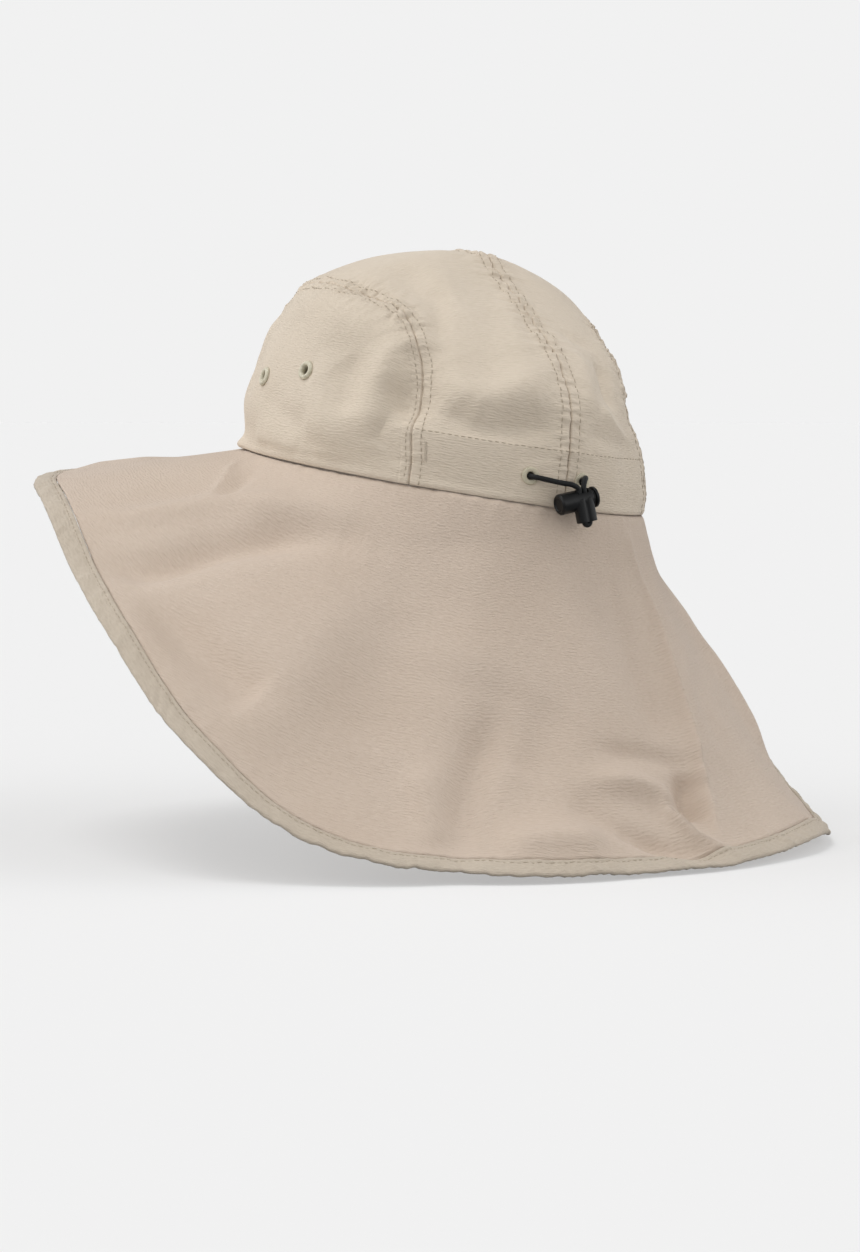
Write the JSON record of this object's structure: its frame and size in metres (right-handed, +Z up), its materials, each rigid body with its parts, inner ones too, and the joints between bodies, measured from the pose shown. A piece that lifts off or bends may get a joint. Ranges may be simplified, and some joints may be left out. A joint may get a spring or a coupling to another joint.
{
  "type": "flap sun hat",
  "caption": "Soft cloth sun hat whose brim hangs down behind as a long neck flap, with metal vent eyelets in the sides and a drawcord with a sprung cord lock at the back.",
  "frame": {"origin": "middle of the head opening, in the plane of the seam between crown and brim", "axes": "+X the wearer's left, +Y the back of the hat, where the flap hangs, +Z up"},
  "size_m": [0.3541, 0.3939, 0.2534],
  "materials": {
    "crown_cloth": "matte crinkle weave",
    "flap_cloth": "matte crinkle weave",
    "hem_cloth": "matte, doubled and topstitched",
    "vent_metal": "satin paint",
    "ring_thread": "satin-stitched thread",
    "cord_sheath": "braided sheath",
    "lock_plastic": "moulded, fine matte"
  },
  "bodies": {
    "hat": {"side_panel_left": "crown_cloth", "side_panel_right": "crown_cloth", "centre_panel_left": "crown_cloth", "centre_panel_right": "crown_cloth", "brim_flap": "flap_cloth", "hem_band": "hem_cloth", "vent_eyelet_left_rear": "vent_metal", "vent_eyelet_left_front": "vent_metal", "vent_eyelet_right_rear": "vent_metal", "vent_eyelet_right_front": "vent_metal", "cord_ring_left": "ring_thread", "cord_ring_right": "ring_thread", "cord_casing": "crown_cloth", "cord_lock_barrel": "lock_plastic", "drawcord": "cord_sheath"},
    "plunger": {"cord_lock_plunger": "lock_plastic"}
  },
  "joints": [
    {"name": "plunger_press", "type": "slide", "parent": "hat", "child": "plunger", "axis": [0.9511, 0, -0.309], "range_m": [0, 0.001], "stiffness_N_per_m": 600}
  ]
}
